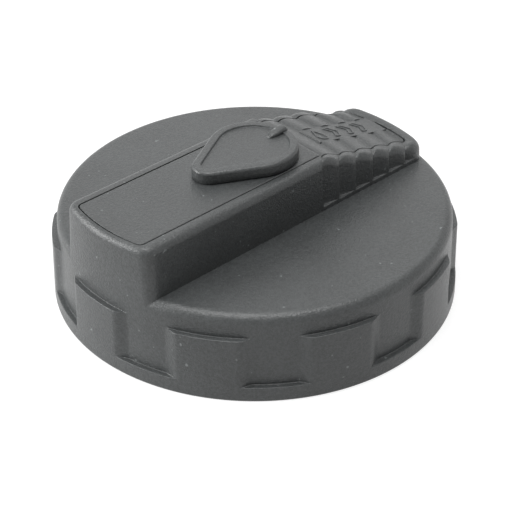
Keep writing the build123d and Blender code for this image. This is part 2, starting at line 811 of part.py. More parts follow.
def core_screws():
    """Four long screws through lug plate and core into the handle."""
    screws = []
    for x in (-core_screw_x, core_screw_x):
        for y in (-core_screw_y, core_screw_y):
            head = cylinder(core_screw_head_radius, lug_plate_z - core_screw_head, lug_plate_z, x, y)
            head = fillet(head.edges().group_by(Axis.Z)[0], 0.8)
            shank = cylinder(core_screw_radius, lug_plate_z - 0.5, core_screw_tip_z, x, y)
            recess = cylinder(1.6, 0, lug_plate_z - core_screw_head + 1.2, x, y)
            screws.append(head + shank - recess)
    return Compound(screws)


# ---- seal -------------------------------------------------------------------
def seal_plate():
    """Sliding plate: outer flange over the gasket, inner cup for the spring."""
    top = seal_flange_z + seal_flange_thickness
    return turned([
        (cup_inner_radius, cup_bottom_z),
        (cup_outer_radius, cup_bottom_z),
        (cup_outer_radius, seal_flange_z),
        (seal_plate_radius, seal_flange_z),
        (seal_plate_radius, top),
        (cup_outer_radius - cup_wall, top),
        (cup_outer_radius - cup_wall, cup_bottom_z + cup_wall),
        (cup_inner_radius, cup_bottom_z + cup_wall),
    ])


def seal_gasket():
    """Thick rubber ring under the flange, with a softened lower edge."""
    z0 = seal_flange_z - gasket_thickness
    body = cylinder(gasket_outer_radius, z0, seal_flange_z) - cylinder(gasket_inner_radius, 0, tall)
    return fillet(body.edges().group_by(Axis.Z)[0], 0.9)


def coil(radius, wire, z0, z1, turns):
    """Round-wire coil between two heights."""
    height = z1 - z0 - 2 * wire
    path = Pos(0, 0, z0 + wire) * Helix(pitch=height / turns, height=height, radius=radius)
    section = Plane(origin=path @ 0, z_dir=path % 0) * Circle(wire)
    return sweep(section, path=path)


def seal_spring():
    """Main spring between the cup and the disc's underside."""
    return coil(seal_spring_radius, seal_spring_wire, cup_bottom_z + cup_wall, roof_under_z, seal_spring_turns)


# ---- vent valve -------------------------------------------------------------
def vent_poppet():
    """Small mushroom valve that closes the vent hole."""
    disc = cylinder(poppet_radius, vent_bore_top_z - poppet_thickness, vent_bore_top_z - 0.02, 0, vent_y)
    disc = fillet(disc.edges().group_by(Axis.Z)[-1], 0.4)
    stem = cylinder(poppet_stem_radius, poppet_stem_bottom_z, vent_bore_top_z - 0.5, 0, vent_y)
    return disc + stem


def vent_spring():
    """Light coil under the valve disc."""
    top = vent_bore_top_z - poppet_thickness
    return Pos(0, vent_y, 0) * coil(vent_spring_radius, vent_spring_wire, core_bottom_z, top, vent_spring_turns)


def main():
    os.makedirs("parts", exist_ok=True)
    pieces = {
        "cap_shell": cap_shell(),
        "handle_panel": handle_panel(),
        "panel_screws": panel_screws(),
        "key_cover": key_cover(),
        "cover_pivot_pin": cover_pivot_pin(),
        "cover_spring_washer": cover_spring_washer(),
        "cover_pin_clip": cover_pin_clip(),
        "lock_housing": lock_housing(),
        "housing_screws": housing_screws(),
        "lock_plug": lock_plug(),
        "lock_wafers": lock_wafers(),
        "plug_clip": plug_clip(),
        "lock_seal_ring": lock_seal_ring(),
        "cam_disc": cam_disc(),
        "lock_bolt": lock_bolt(),
        "bolt_cover": bolt_cover(),
        "bolt_cover_screws": bolt_cover_screws(),
        "core_body": core_body(),
        "lug_plate": lug_plate(),
        "core_screws": core_screws(),
        "seal_plate": seal_plate(),
        "seal_gasket": seal_gasket(),
        "seal_spring": seal_spring(),
        "vent_poppet": vent_poppet(),
        "vent_spring": vent_spring(),
    }
    for name, shape in pieces.items():
        export_step(shape, "parts/" + name + ".step")
        box = shape.bounding_box()
        print(name, len(shape.solids()), round(shape.volume, 1), round(box.min.Z, 2), round(box.max.Z, 2))


if __name__ == "__main__":
    main()
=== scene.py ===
"""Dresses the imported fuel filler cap: fine-grained grey mouldings, plated steel, rubber, stage and camera."""
import math

import bmesh
import bpy
import numpy as np
from bpy.props import FloatProperty, FloatVectorProperty, IntProperty, PointerProperty
from mathutils import Matrix, Vector


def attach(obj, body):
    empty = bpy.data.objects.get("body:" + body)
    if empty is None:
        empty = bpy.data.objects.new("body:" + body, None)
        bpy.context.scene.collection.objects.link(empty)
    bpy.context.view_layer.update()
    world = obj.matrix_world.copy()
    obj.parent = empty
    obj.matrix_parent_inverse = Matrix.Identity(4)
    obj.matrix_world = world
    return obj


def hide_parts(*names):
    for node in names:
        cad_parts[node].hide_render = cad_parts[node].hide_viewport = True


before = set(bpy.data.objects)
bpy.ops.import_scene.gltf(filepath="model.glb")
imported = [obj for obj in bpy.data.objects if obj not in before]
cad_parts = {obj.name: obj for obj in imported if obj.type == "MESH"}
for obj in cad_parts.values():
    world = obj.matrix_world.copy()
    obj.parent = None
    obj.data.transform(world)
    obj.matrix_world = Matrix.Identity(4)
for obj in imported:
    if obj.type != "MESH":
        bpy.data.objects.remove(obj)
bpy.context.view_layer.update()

bl_info = {
    "name": "Fuel Filler Cap",
    "version": (1, 0, 0),
    "blender": (4, 5, 0),
    "location": "View3D > Sidebar > Filler Cap",
    "description": "Builds the looks of a lockable fuel filler cap",
    "category": "Object",
}

MM = 0.001
LOCK_BORE = 10.05 * MM  # radius of the disc's hole for the lock
GROOVE_HALF = 11.6 * MM  # past this width the last valley bends to its marks on the sides
BURIED = 20.3 * MM  # height inside the disc at which the handle's walls start


# ---- properties -------------------------------------------------------------
def length(name, millimetres, text):
    """Length property with its default given in millimetres."""
    return FloatProperty(name=name, description=text, default=millimetres * MM, min=0.0, unit="LENGTH", precision=5)


def place(name, millimetres, text):
    """Signed length property with its default given in millimetres."""
    return FloatProperty(name=name, description=text, default=millimetres * MM, unit="LENGTH", precision=5)


def places(name, millimetres, text):
    """Row of lengths with defaults given in millimetres."""
    values = tuple(v * MM for v in millimetres)
    return FloatVectorProperty(
        name=name, description=text, default=values, size=len(values), unit="LENGTH", precision=5
    )


def numbers(name, values, text):
    """Row of plain numbers."""
    return FloatVectorProperty(name=name, description=text, default=values, size=len(values))


def power(name, watts, text):
    """Lamp power property."""
    return FloatProperty(name=name, description=text, default=watts, min=0.0)


def turn(name, degrees, text):
    """Angle property with its default given in degrees."""
    return FloatProperty(name=name, description=text, default=math.radians(degrees), unit="ROTATION")


def colour(name, values, text):
    """Colour property, linear values."""
    return FloatVectorProperty(name=name, description=text, default=values, subtype="COLOR", size=3, min=0, max=1)


class SkirtSizes(bpy.types.PropertyGroup):
    """Sizes of the fluted skirt and the disc."""
    rim_radius: length("Rim radius", 52.0, "Outer radius at the lower edge")
    recess_radius: length("Recess radius", 50.57, "Radius of the recessed wall, carried down to the rim")
    bore_radius: length("Bore radius", 47.8, "Inside radius of the skirt")
    draft: FloatProperty(name="Draft", description="Radius lost for each unit of height", default=0.027)
    low_ledge: length("Low ledge", 4.05, "Height of the plain band round the rim")
    high_ledge: length("High ledge", 17.2, "Height of the raised pads")
    disc_height: length("Disc height", 23.06, "Height of the disc's face")
    disc_round: length("Disc edge", 2.43, "Rounding of the disc's edge")
    roof_height: length("Roof height", 20.02, "Height of the disc's underside")
    ledge_round: length("Ledge rounding", 0.22, "Rounding of the ledges' edges")
    flutes: IntProperty(name="Flutes", description="Number of pads round the skirt", default=10, min=3)
    flute_turn: turn("Flute turn", -1.87, "Angle of the pads against the handle")
    pad_half: turn("Pad half angle", 8.1, "Half the full height of a pad")
    recess_half: turn("Recess half angle", 5.8, "Half the flat of a recess")


class HandleSizes(bpy.types.PropertyGroup):
    """Sizes of the bar handle and its ribs."""
    half_width: length("Half width", 15.8, "Half width at the disc")
    top: length("Top", 36.34, "Height of the flat top")
    taper: turn("Taper", 4.5, "Lean of the long sides")
    corner: length("Corner", 3.5, "Rounding of the upright corners at the smooth end")
    ribbed_corner: length("Ribbed corner", 4.4, "Rounding of the upright corners at the ribbed end")
    ribbed_radius: length("Ribbed end", 49.6, "Plan radius of the ribbed end, carried down to the rim")
    edge: length("Edge", 2.1, "Rounding of the upper edge")
    ribs: places("Valleys", (12.3, 19.6, 26.35, 32.95, 39.5, 44.83), "Valleys on the middle line")
    lean: numbers("Lean", (0.047, 0.055, 0.095, 0.122, 0.080, 0.060), "Slant of each valley in plan")
    bow: numbers("Bow", (0.0005, 0.0062, 0.0095, 0.0092, 0.0140, 0.0080), "Half curvature of each valley, per mm")
    near_marks: places("Near marks", (9.2, 15.3, 21.3, 27.5, 33.6, 39.8), "Where the valleys meet the near side")
    far_marks: places("Far marks", (12.9, 19.0, 25.6, 32.7, 37.5, 42.9), "Where the valleys meet the far side")
    pitch: length("Rib pitch", 6.4, "Distance from valley to valley past the last one")
    rib_height: length("Rib height", 0.75, "Height of a rib over its valleys")
    rib_depth: length("Side depth", 0.85, "Depth of the valleys in the sides")
    rib_floor: length("Rib floor", 24.2, "Height at which the side valleys end")
    slope: FloatProperty(name="Slope", description="Fall of the ramp for each unit of length", default=0.25)
    rim_height: length("Rim height", 27.1, "Lowest height of the ramp, at the ribbed end")
    first_valley: length("First valley", 35.5, "Height of the first valley")
    second_valley: length("Second valley", 33.2, "Height of the second valley")
    shoulder: length("Shoulder", 1.3, "Rounding where the flat top meets the first valley")
    fall_start: length("Fall start", 8.2, "Distance from the middle at which the far side of the ribbed end rounds off")
    fall_round: length("Fall rounding", 6.0, "Radius of that rounding")


class PanelSizes(bpy.types.PropertyGroup):
    """Sizes of the panel let into the handle."""
    half_width: length("Half width", 11.6, "Half width at the middle of the groove")
    left_radius: length("Left radius", 47.9, "Plan radius of the smooth end")
    right_radius: length("Right radius", 45.2, "Plan radius of the ribbed end")
    corner: length("Corner", 1.4, "Rounding of the corners in plan")
    groove: length("Groove", 0.15, "Half width of the groove")
    edge: length("Edge", 0.2, "Rounding of the upper edge")
    sign_half: length("Sign half width", 4.0, "Half width of the plain band across the ribs")
    sign_rise: length("Sign rise", 0.42, "Height of the band over the valleys")
    lock_hole: length("Lock hole", 10.3, "Radius of the hole over the lock")


class CoverSizes(bpy.types.PropertyGroup):
    """Sizes of the key cover."""
    pivot_x: place("Pivot", -15.0, "Place of the pivot along the handle")
    big_x: place("Big end", -0.5, "Centre of the round end")
    small_radius: length("Small radius", 4.4, "Radius round the pivot")
    big_radius: length("Big radius", 11.3, "Radius of the round end")
    bottom: length("Bottom", 36.54, "Height of the underside")
    thickness: length("Thickness", 3.2, "Thickness at the rim")
    edge: length("Edge", 0.8, "Rounding of the upper edge")
    rim: length("Rim", 2.3, "Width of the raised rim")
    recess: length("Recess", 0.5, "Depth of the face inside the rim")
    tab_width: length("Tab width", 2.7, "Width of the finger tab")


class Finish(bpy.types.PropertyGroup):
    """Colours of the surfaces."""
    shell: colour("Shell", (0.051, 0.0548, 0.0553), "Grey moulded plastic")
    inner: colour("Inner", (0.030, 0.031, 0.032), "Black moulded plastic")
    steel: colour("Steel", (0.60, 0.60, 0.58), "Plated steel")
    zinc: colour("Zinc", (0.40, 0.40, 0.40), "Die-cast zinc")
    brass: colour("Brass", (0.70, 0.52, 0.22), "Brass")
    rubber: colour("Rubber", (0.022, 0.022, 0.023), "Black rubber")


class Studio(bpy.types.PropertyGroup):
    """Stage and lights."""
    floor: colour("Floor", (0.80, 0.80, 0.80), "Pale floor")
    floor_size: FloatProperty(name="Floor size", description="Edge of the floor", default=6.0, unit="LENGTH")
    world: FloatProperty(name="World", description="Strength of the surrounding light", default=0.02, min=0.0)
    top_light: power("Top light", 11.5, "Power of the overhead panel in watts")
    left_light: power("Left light", 22.0, "Power of the left panel in watts")
    back_light: power("Back light", 2.8, "Power of the back panel in watts")


# ---- shader writing ---------------------------------------------------------
class Socket:
    """One output socket; arithmetic on it adds Math nodes."""

    def __init__(self, recipe, out):
        self.recipe = recipe
        self.out = out

    def _math(self, operation, *values):
        return self.recipe.node("ShaderNodeMath", {"operation": operation}, dict(enumerate(values)))

    def __add__(self, other):
        return self._math("ADD", self, other)

    __radd__ = __add__

    def __mul__(self, other):
        return self._math("MULTIPLY", self, other)

    __rmul__ = __mul__

    def __rsub__(self, other):
        return self._math("SUBTRACT", other, self)

    def between(self, low, high):
        """0 below low, 1 above high, smooth between."""
        settings = {"interpolation_type": "SMOOTHSTEP"}
        return self.recipe.node("ShaderNodeMapRange", settings, {"Value": self, "From Min": low, "From Max": high})


class Recipe:
    """One material and the nodes that make it."""

    def __init__(self, name):
        self.material = bpy.data.materials.new(name)
        self.material.use_nodes = True
        self.tree = self.material.node_tree
        self.tree.nodes.clear()

    def node(self, kind, settings=None, values=None, output=0):
        """Makes a node: settings first, then its sockets' values or links."""
        made = self.tree.nodes.new(kind)
        for key, value in (settings or {}).items():
            setattr(made, key, value)
        for key, value in (values or {}).items():
            target = made.inputs[key]
            if isinstance(value, Socket):
                self.tree.links.new(value.out, target)
            else:
                target.default_value = value
        return Socket(self, made.outputs[output])

    def place(self):
        """Object coordinates."""
        return self.node("ShaderNodeTexCoord", output="Object")

    def noise(self, scale, detail=2.0, roughness=0.5, place=None):
        """Noise value with its scale given per metre."""
        values = {"Vector": place or self.place(), "Scale": scale, "Detail": detail, "Roughness": roughness}
        return self.node("ShaderNodeTexNoise", {}, values, output=0)

    def mix(self, amount, first, second):
        """Colour mix."""
        values = {0: amount, 6: first, 7: second}
        return self.node("ShaderNodeMix", {"data_type": "RGBA"}, values, output=2)

    def bump(self, height, depth):
        """Normal tilted by a height field that is depth metres deep."""
        return self.node("ShaderNodeBump", {}, {"Height": height, "Distance": depth, "Strength": 1.0})

    def finish(self, **values):
        """Closes the material with a Principled shader; a socket's name is written with underscores."""
        sockets = {key.replace("_", " "): value for key, value in values.items()}
        shader = self.node("ShaderNodeBsdfPrincipled", {}, sockets)
        self.node_output(shader)
        return self.material

    def node_output(self, shader):
        """Connects a shader to the surface output."""
        made = self.tree.nodes.new("ShaderNodeOutputMaterial")
        self.tree.links.new(shader.out, made.inputs["Surface"])


def rgba(values, factor=1.0):
    """Colour with alpha from three numbers."""
    return (values[0] * factor, values[1] * factor, values[2] * factor, 1.0)


def grained_plastic(name, values, grain=0.15, sparkle=1.0):
    """Moulded plastic with a fine eroded grain, a faint glint in it and rare pale specks."""
    r = Recipe(name)
    fine = r.noise(3000.0, 3.0, 0.62)
    coarse = r.noise(1400.0, 2.0, 0.5)
    cloud = r.noise(45.0, 3.0, 0.55)
    pits = r.node("ShaderNodeTexVoronoi", {"feature": "F1"}, {"Vector": r.place(), "Scale": 2200.0}, output="Distance")
    height = fine * 0.5 + coarse * 0.45 + pits * 0.3
    shade = fine.between(0.36, 0.64) * 0.40 + coarse.between(0.36, 0.64) * 0.35
    shade = shade + cloud.between(0.3, 0.7) * 0.25
    tint = r.mix(shade, rgba(values, 0.60), rgba(values, 1.42))
    specks = r.noise(620.0, 1.0, 0.4).between(0.765, 0.80)
    tint = r.mix(specks * 0.55, tint, rgba(values, 5.0))
    rough = 0.35 - fine.between(0.45, 0.75) * 0.12 * sparkle + cloud * 0.05
    return r.finish(Base_Color=tint, Roughness=rough, Specular_IOR_Level=0.5, Normal=r.bump(height, grain * MM))


def plated_steel(name, values, rough=0.32):
    """Plated sheet steel with faint rolling lines and dull patches."""
    r = Recipe(name)
    place = r.node("ShaderNodeMapping", {}, {"Vector": r.place(), "Scale": (1.0, 0.06, 1.0)})
    lines = r.noise(2600.0, 3.0, 0.6, place)
    cloud = r.noise(110.0, 3.0, 0.5)
    tint = r.mix(cloud.between(0.3, 0.7), rgba(values, 0.88), rgba(values, 1.06))
    return r.finish(
        Base_Color=tint,
        Metallic=1.0,
        Roughness=rough + lines.between(0.3, 0.7) * 0.10 + cloud * 0.06,
        Normal=r.bump(lines, 0.004 * MM),
    )


def moulded_rubber(name, values):
    """Matt black rubber, slightly dusty."""
    r = Recipe(name)
    fine = r.noise(1800.0, 3.0, 0.6)
    dust = r.noise(160.0, 3.0, 0.6)
    tint = r.mix(dust.between(0.45, 0.75), rgba(values), rgba(values, 1.9))
    return r.finish(Base_Color=tint, Roughness=0.72 + fine * 0.1, Normal=r.bump(fine, 0.02 * MM))


# ---- mesh making ------------------------------------------------------------
def grid_faces(rows, columns, close_rows=False, close_columns=False, start=0):
    """Quads of a grid whose point (i, j) has number start + i * columns + j."""
    i = np.arange(rows if close_rows else rows - 1)
    j = np.arange(columns if close_columns else columns - 1)
    i, j = np.meshgrid(i, j, indexing="ij")
    i1 = (i + 1) % rows
    j1 = (j + 1) % columns
    quads = np.stack([i * columns + j, i1 * columns + j, i1 * columns + j1, i * columns + j1], -1)
    return start + quads.reshape(-1, 4)


def make_piece(name, points, faces, material, body, replaces=(), sharp=32.0):
    """Puts points and faces into a mesh that rides on a body."""
    mesh = bpy.data.meshes.new(name)
    mesh.from_pydata(points.reshape(-1, 3).tolist(), [], faces.tolist())
    mesh.validate()
    piece = bpy.data.objects.new(name, mesh)
    bpy.context.scene.collection.objects.link(piece)
    weld_and_turn_out(mesh)
    mesh.shade_smooth()
    mesh.set_sharp_from_angle(angle=math.radians(sharp))
    mesh.materials.append(material)
    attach(piece, body)
    if replaces:
        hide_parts(*replaces)
    return piece


def weld_and_turn_out(mesh):
    """Merges doubled points and turns every face outwards."""
    work = bmesh.new()
    work.from_mesh(mesh)
    bmesh.ops.remove_doubles(work, verts=work.verts, dist=1e-7)
    bmesh.ops.dissolve_degenerate(work, edges=work.edges, dist=1e-8)
    bmesh.ops.recalc_face_normals(work, faces=work.faces)
    work.to_mesh(mesh)
    work.free()


def drill(piece, radius, low, high):
    """Cuts a round hole on the axis through a piece: x = r cos a, y = r sin a, from a low to a high plane."""
    n = 128
    a = np.linspace(0, 2 * math.pi, n, endpoint=False)
    ring = np.stack([radius * np.cos(a), radius * np.sin(a)], -1)
    points = np.concatenate([np.c_[ring, np.full(n, low)], np.c_[ring, np.full(n, high)]])
    sides = grid_faces(2, n, close_columns=True)[:, ::-1].tolist()
    mesh = bpy.data.meshes.new("cutter")
    mesh.from_pydata(points.tolist(), [], sides + [list(range(n - 1, -1, -1)), list(range(n, 2 * n))])
    cutter = bpy.data.objects.new("cutter", mesh)
    bpy.context.scene.collection.objects.link(cutter)
    cut = piece.modifiers.new("hole", "BOOLEAN")
    cut.operation, cut.solver, cut.object = "DIFFERENCE", "EXACT", cutter
    made = bpy.data.meshes.new_from_object(piece.evaluated_get(bpy.context.evaluated_depsgraph_get()))
    piece.modifiers.clear()
    piece.data = made
    bpy.data.objects.remove(cutter)


def smooth(x, low, high):
    """Smooth step from 0 at low to 1 at high."""
    t = np.clip((x - low) / (high - low), 0.0, 1.0)
    return t * t * (3 - 2 * t)


def dress(node, material):
    """Gives a carried-over CAD node its finish."""
    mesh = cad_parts[node].data
    mesh.materials.clear()
    mesh.materials.append(material)


# ---- skirt and disc ---------------------------------------------------------
def skirt_points(s, columns=900):
    """Turned profile carried round the axis, its radius stepping between two drafted cones.

    p(angle) is 1 on a pad, 0 in a recess and smooth between. Below the low ledge the radius is the rim's;
    between the ledges it is recess + p * (rim - recess); above the high ledge it is the recess's.
    """
    a = np.linspace(0, 2 * math.pi, columns, endpoint=False)
    step = 2 * math.pi / s.flutes
    off = np.abs((a - math.pi - s.flute_turn + step / 2) % step - step / 2)
    p = 1 - smooth(off, s.pad_half - 0.004, step / 2 - s.recess_half + 0.004)

    def rim(z):
        return s.rim_radius - s.draft * z

    def low(z):
        return s.recess_radius - s.draft * z

    rows = []

    def add(r, z):
        rows.append((np.broadcast_to(r, a.shape), np.broadcast_to(z, a.shape)))

    inner_corner = ((0.0, 0.9), (0.0, 0.5), (0.02, 0.25), (0.08, 0.08), (0.2, 0.02))  # out and up
    rr = s.disc_round
    add(LOCK_BORE, s.disc_height)
    for r in np.linspace(LOCK_BORE, low(s.disc_height) - rr, 14)[1:]:
        add(r, s.disc_height)
    z_edge = s.disc_height - rr
    for t in np.linspace(0, math.pi / 2, 15)[1:]:
        add(low(z_edge) - rr + rr * math.sin(t), z_edge + rr * math.cos(t))
    top = s.high_ledge
    e = s.ledge_round
    add(low(top + 1.4 * MM), top + 1.4 * MM)
    wide = p * (rim(top) - low(top))
    for out, up in inner_corner:
        add(low(top) + np.minimum(out * MM * 2, wide * 0.5), top + up * e)
    for t in np.linspace(0, math.pi / 2, 6):
        r = rim(top) - np.minimum(e, wide / 2) * (1 - math.sin(t))
        r = low(top) + p * (r - low(top))
        add(r, top - e * (1 - math.cos(t)) - 0.003 * MM)
    for z in np.linspace(top - e - 0.2 * MM, s.low_ledge + e + 0.2 * MM, 14):
        add(low(z) + p * (rim(z) - low(z)), z)
    lo = s.low_ledge
    wide = (1 - p) * (rim(lo) - low(lo))
    foot = low(lo) + p * (rim(lo) - low(lo))
    for out, up in inner_corner:
        add(foot + np.minimum(out * MM * 2, wide * 0.5), lo + up * e)
    for t in np.linspace(0, math.pi / 2, 6):
        r = rim(lo) - np.minimum(e, wide / 2) * (1 - math.sin(t))
        add(r, lo - e * (1 - math.cos(t)) - 0.003 * MM)
    for z in np.linspace(lo - e - 0.3 * MM, 0.6 * MM, 5):
        add(rim(z), z)
    for t in np.linspace(0, math.pi / 2, 6)[1:]:
        add(rim(0) - 0.6 * MM * (1 - math.cos(t)), 0.6 * MM * (1 - math.sin(t)))
    add(s.bore_radius + 0.3 * MM, 0.0)
    add(s.bore_radius, 0.3 * MM)
    for z in np.linspace(1.0 * MM, s.roof_height - 1.5 * MM, 8):
        add(s.bore_radius, z)
    for t in np.linspace(0, math.pi / 2, 8)[1:]:
        add(s.bore_radius - 1.5 * MM * (1 - math.cos(t)), s.roof_height - 1.5 * MM * (1 - math.sin(t)))
    for r in np.linspace(s.bore_radius - 3 * MM, LOCK_BORE, 8):
        add(r, s.roof_height)
    r = np.stack([row[0] for row in rows])
    z = np.stack([row[1] for row in rows])
    return np.stack([r * np.cos(a), r * np.sin(a), z], -1)


# ---- handle -----------------------------------------------------------------
def valley_line(h, i, y):
    """Valley i in plan: its place on the middle line, plus a slant, less a parabola."""
    return h.ribs[i] + h.lean[i] * y - h.bow[i] / MM * y * y


def ramp_height(h, x):
    """Height of the valleys at true x: two straight falls that meet at the second valley.

    Near the end they level out at the rim's height: (a + b + sqrt((a - b) ** 2 + e * e)) / 2.
    """
    first, second = h.ribs[0], h.ribs[1]
    steep = (h.first_valley - h.second_valley) / (second - first)
    fall = np.where(x < second, h.second_valley + steep * (second - x), h.second_valley - h.slope * (x - second))
    return (fall + h.rim_height + np.sqrt((fall - h.rim_height) ** 2 + (0.3 * MM) ** 2)) / 2


def skewed(w, k):
    """Parabola with its crest moved towards 0: 4 s (1 - s) where s = w (1 + k) / (1 + k w)."""
    t = w * (1 + k) / (1 + k * w)
    return 4 * t * (1 - t)


def top_height(h, m, x):
    """Height of the top at rib count m and true x.

    Below 0 the top is level with a rounded shoulder; from 0 on each rib is a skewed parabola over the ramp,
    its valley softened as sqrt(g * g + e * e).
    """
    w = np.clip(m, 0, None) % 1.0
    g = np.sqrt(skewed(w, 1.0) ** 2 + 0.14 ** 2) - 0.10
    ramp = ramp_height(h, x)
    share = h.shoulder / h.pitch
    q = np.clip(1 + m / share, 0.0, 1.0)
    low = ramp + h.rib_height * 0.04
    level = h.top - np.maximum(h.top - low, 0) * (1 - np.sqrt(1 - q * q))
    return np.where(m < 0, level, ramp + h.rib_height * g)


def far_fall(h, x, y):
    """Large rounding of the far side towards the ribbed end: a circle's fall, faded in along the handle."""
    reach = np.clip(y - h.fall_start, 0, h.fall_round * 0.79)
    drop = h.fall_round - np.sqrt(h.fall_round ** 2 - reach ** 2)
    return drop * smooth(x, 31 * MM, 40 * MM)


def side_depth(h, m):
    """How far the side stands back at rib count m: deep just past a valley, then a bulge that ends in a lip."""
    last = len(h.ribs) - 1
    w = np.clip(m, 0, None) % 1.0
    depth = h.rib_depth * (1 - skewed(1 - w, 3.2))
    before = h.rib_depth * smooth(m, -0.05, 0.0)
    after = h.rib_depth * np.clip(1 - (m - last) / 0.5, 0.0, 1.0) ** 1.5
    return np.where(m < 0, before, np.where(m > last, after, depth))


def ring_outline(h, half, ends, corners, near, far):
    """Plan outline of a bar between two end arcs, as points, outward directions and rib counts.

    Sides run between the corner circles, with the rib valleys at given places; each corner is an arc round
    its centre; each end is an arc round the axis. The near side comes first.
    """
    last = len(h.ribs) - 1
    reach = [math.sqrt((r - c) ** 2 - (half - c) ** 2) for r, c in zip(ends, corners)]
    share = h.shoulder / h.pitch

    def side(marks):
        marks = [min(v, reach[1] - (0.1 + 0.02 * (last - k)) * MM) for k, v in enumerate(marks)]
        stops = [-reach[0], marks[0] - h.shoulder] + marks + [reach[1]]
        counted = [-1.0, -share] + list(range(last + 1)) + [last + (reach[1] - marks[-1]) / h.pitch]
        xs, ms = [np.array(stops[:1])], [np.array(counted[:1])]
        for k, n in enumerate([46, 6] + [24] * last + [14]):
            f = np.linspace(0, 1, n + 1)[1:]
            xs.append(stops[k] + f * (stops[k + 1] - stops[k]))
            ms.append(counted[k] + f * (counted[k + 1] - counted[k]))
        return np.concatenate(xs), np.concatenate(ms), marks[-1]

    def ray(a):
        return np.stack([np.cos(a), np.sin(a)], -1)

    def end(radius, corner, x):
        tip = math.atan2(half - corner, x)
        a = -math.pi / 2 + np.linspace(0, 1, 15)[1:] * (math.pi / 2 - tip)
        b = np.linspace(-tip, tip, 33)[1:]
        centre = np.array([x, -(half - corner)])
        first = centre + corner * ray(a)
        second = (centre + corner * ray(a)) * (1, -1)
        place = np.concatenate([first, radius * ray(b), second[-2::-1]])
        out = np.concatenate([ray(a), ray(b), (ray(a) * (1, -1))[-2::-1]])
        return place, out

    x_near, m_near, v_near = side(list(near))
    x_far, m_far, v_far = side(list(far))
    right, right_out = end(ends[1], corners[1], reach[1])
    left, left_out = end(ends[0], corners[0], reach[0])
    y = right[:, 1]
    valley = valley_line(h, last, np.clip(y, -GROOVE_HALF, GROOVE_HALF))
    span = max(half - GROOVE_HALF, 0.1 * MM)
    valley = valley + (v_near - valley) * np.clip((-y - GROOVE_HALF) / span, 0, 1)
    valley = valley + (v_far - valley) * np.clip((y - GROOVE_HALF) / span, 0, 1)
    m_right = last + np.maximum(right[:, 0] - valley, 0) / h.pitch
    near_place = np.stack([x_near, np.full_like(x_near, -half)], -1)
    far_place = np.stack([x_far, np.full_like(x_far, half)], -1)[::-1]
    down = np.tile((0.0, -1.0), (len(x_near), 1))
    place = np.concatenate([near_place, right, far_place[1:], (left * (-1, 1))[::-1][:-1]])
    out = np.concatenate([down, right_out, -down[1:], (left_out * (-1, 1))[::-1][:-1]])
    m = np.concatenate([m_near, m_right, m_far[::-1][1:], np.full(len(left) - 1, -1.0)])
    return place, out, m


